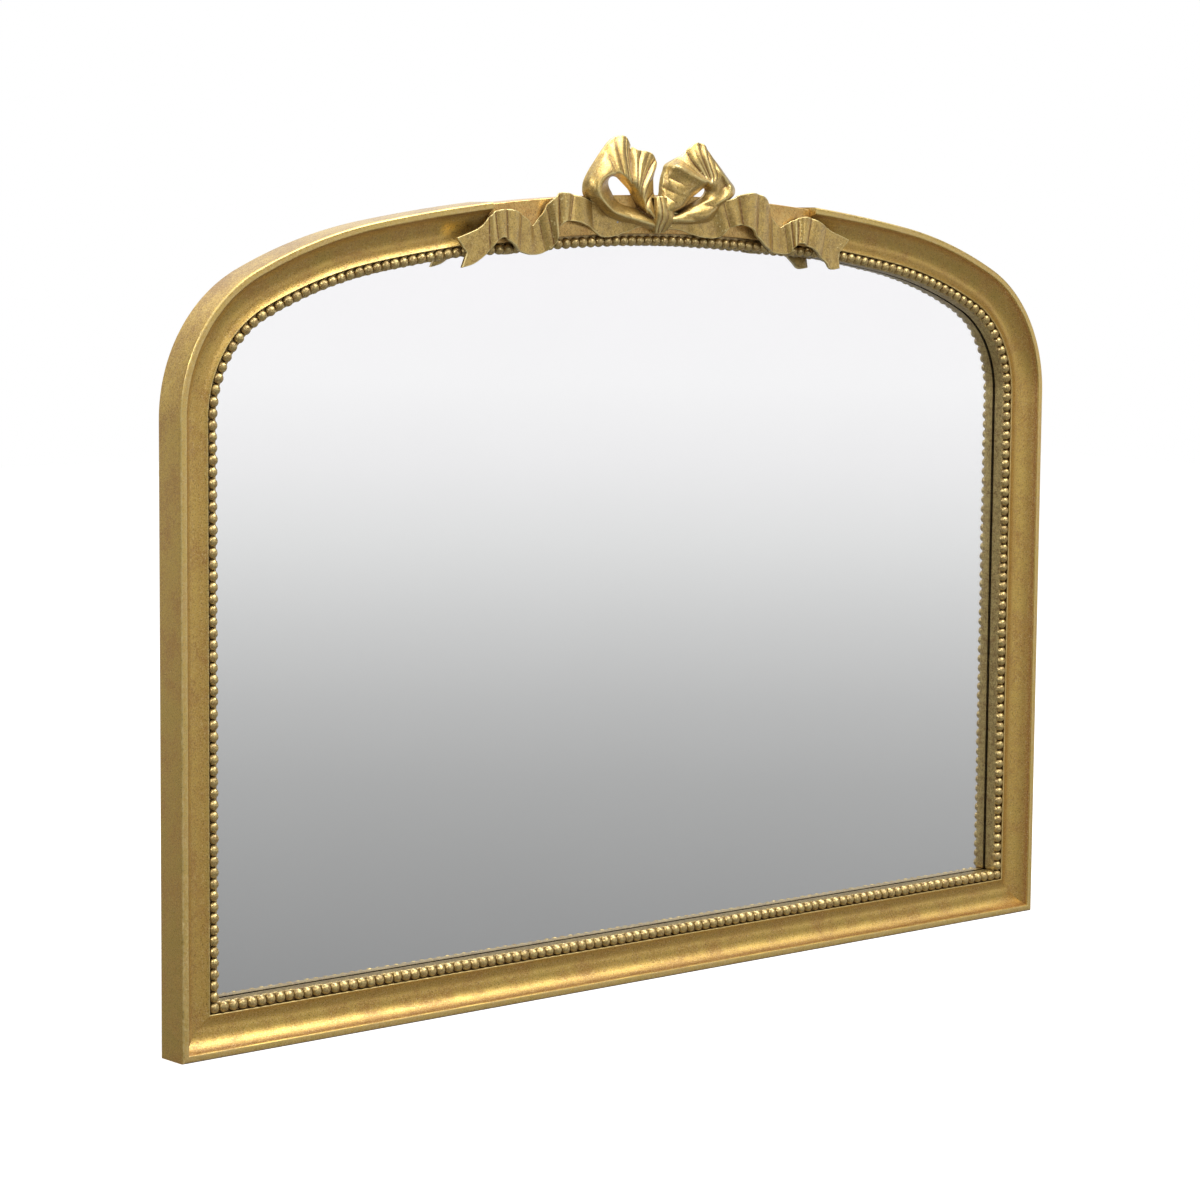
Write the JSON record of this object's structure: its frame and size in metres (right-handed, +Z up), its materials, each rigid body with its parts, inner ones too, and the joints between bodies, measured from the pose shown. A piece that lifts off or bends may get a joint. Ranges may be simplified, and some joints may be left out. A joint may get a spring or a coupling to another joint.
{
  "type": "arched mirror",
  "caption": "Arched overmantel mirror in a gilded moulding with a beaded slip and a ribbon bow, backed by a board under turn buttons and hung from rings.",
  "frame": {"origin": "middle of the underside of the bottom rail, halfway through the depth of the frame", "axes": "+X to the right as the mirror is seen from the front, +Y from the front to the back, +Z up"},
  "size_m": [1, 0.0437, 0.7354],
  "materials": {
    "gilt_wood": "gilded, antique patina",
    "gilt_composition": "gilded, antique patina",
    "silvered_glass": "polished",
    "hardboard": "raw",
    "beech_dowel": "raw",
    "brassed_steel": "brass plated",
    "steel_wire": "bright",
    "rubber_pad": "matt"
  },
  "bodies": {
    "mirror": {"arch_dowels": "beech_dowel", "backing_board": "hardboard", "bottom_rail": "gilt_wood", "bottom_slip": "gilt_wood", "bow_knot": "gilt_composition", "bow_left_loop": "gilt_composition", "bow_right_loop": "gilt_composition", "crown_block": "gilt_wood", "glass_setting_pads": "rubber_pad", "hanger_screws": "brassed_steel", "left_crown_rail": "gilt_wood", "left_crown_slip": "gilt_wood", "left_hanger_strap": "brassed_steel", "left_ribbon_tail": "gilt_composition", "left_shoulder": "gilt_wood", "left_shoulder_slip": "gilt_wood", "left_slip": "gilt_wood", "left_stile": "gilt_wood", "mirror_glass": "silvered_glass", "mitre_nails": "steel_wire", "ornament_pins": "steel_wire", "right_crown_rail": "gilt_wood", "right_crown_slip": "gilt_wood", "right_hanger_strap": "brassed_steel", "right_ribbon_tail": "gilt_composition", "right_shoulder": "gilt_wood", "right_shoulder_slip": "gilt_wood", "right_slip": "gilt_wood", "right_stile": "gilt_wood", "turn_button_screws": "brassed_steel", "wall_bumpers": "rubber_pad"},
    "left_ring": {"left_hanger_ring": "brassed_steel"},
    "right_ring": {"right_hanger_ring": "brassed_steel"},
    "button_1": {"turn_button_1": "brassed_steel"},
    "button_2": {"turn_button_2": "brassed_steel"},
    "button_3": {"turn_button_3": "brassed_steel"},
    "button_4": {"turn_button_4": "brassed_steel"},
    "button_5": {"turn_button_5": "brassed_steel"},
    "button_6": {"turn_button_6": "brassed_steel"},
    "button_7": {"turn_button_7": "brassed_steel"},
    "button_8": {"turn_button_8": "brassed_steel"}
  },
  "joints": [
    {"name": "left_ring_swing", "type": "hinge", "parent": "mirror", "child": "left_ring", "pos_m": [-0.486, 0.0183, 0.47], "axis": [1, 0, 0], "range_deg": [0, 175]},
    {"name": "right_ring_swing", "type": "hinge", "parent": "mirror", "child": "right_ring", "pos_m": [0.486, 0.0183, 0.47], "axis": [1, 0, 0], "range_deg": [0, 175]},
    {"name": "button_1_turn", "type": "hinge", "parent": "mirror", "child": "button_1", "pos_m": [-0.28, 0.0163, 0.0185], "axis": [0, 1, 0], "continuous": true},
    {"name": "button_2_turn", "type": "hinge", "parent": "mirror", "child": "button_2", "pos_m": [-0.4815, 0.0163, 0.254], "axis": [0, 1, 0], "continuous": true},
    {"name": "button_3_turn", "type": "hinge", "parent": "mirror", "child": "button_3", "pos_m": [-0.44893, 0.0163, 0.58676], "axis": [0, 1, 0], "continuous": true},
    {"name": "button_4_turn", "type": "hinge", "parent": "mirror", "child": "button_4", "pos_m": [-0.09313, 0.0163, 0.67037], "axis": [0, 1, 0], "continuous": true},
    {"name": "button_5_turn", "type": "hinge", "parent": "mirror", "child": "button_5", "pos_m": [0.28, 0.0163, 0.0185], "axis": [0, 1, 0], "continuous": true},
    {"name": "button_6_turn", "type": "hinge", "parent": "mirror", "child": "button_6", "pos_m": [0.4815, 0.0163, 0.254], "axis": [0, 1, 0], "continuous": true},
    {"name": "button_7_turn", "type": "hinge", "parent": "mirror", "child": "button_7", "pos_m": [0.44893, 0.0163, 0.58676], "axis": [0, 1, 0], "continuous": true},
    {"name": "button_8_turn", "type": "hinge", "parent": "mirror", "child": "button_8", "pos_m": [0.09313, 0.0163, 0.67037], "axis": [0, 1, 0], "continuous": true}
  ]
}
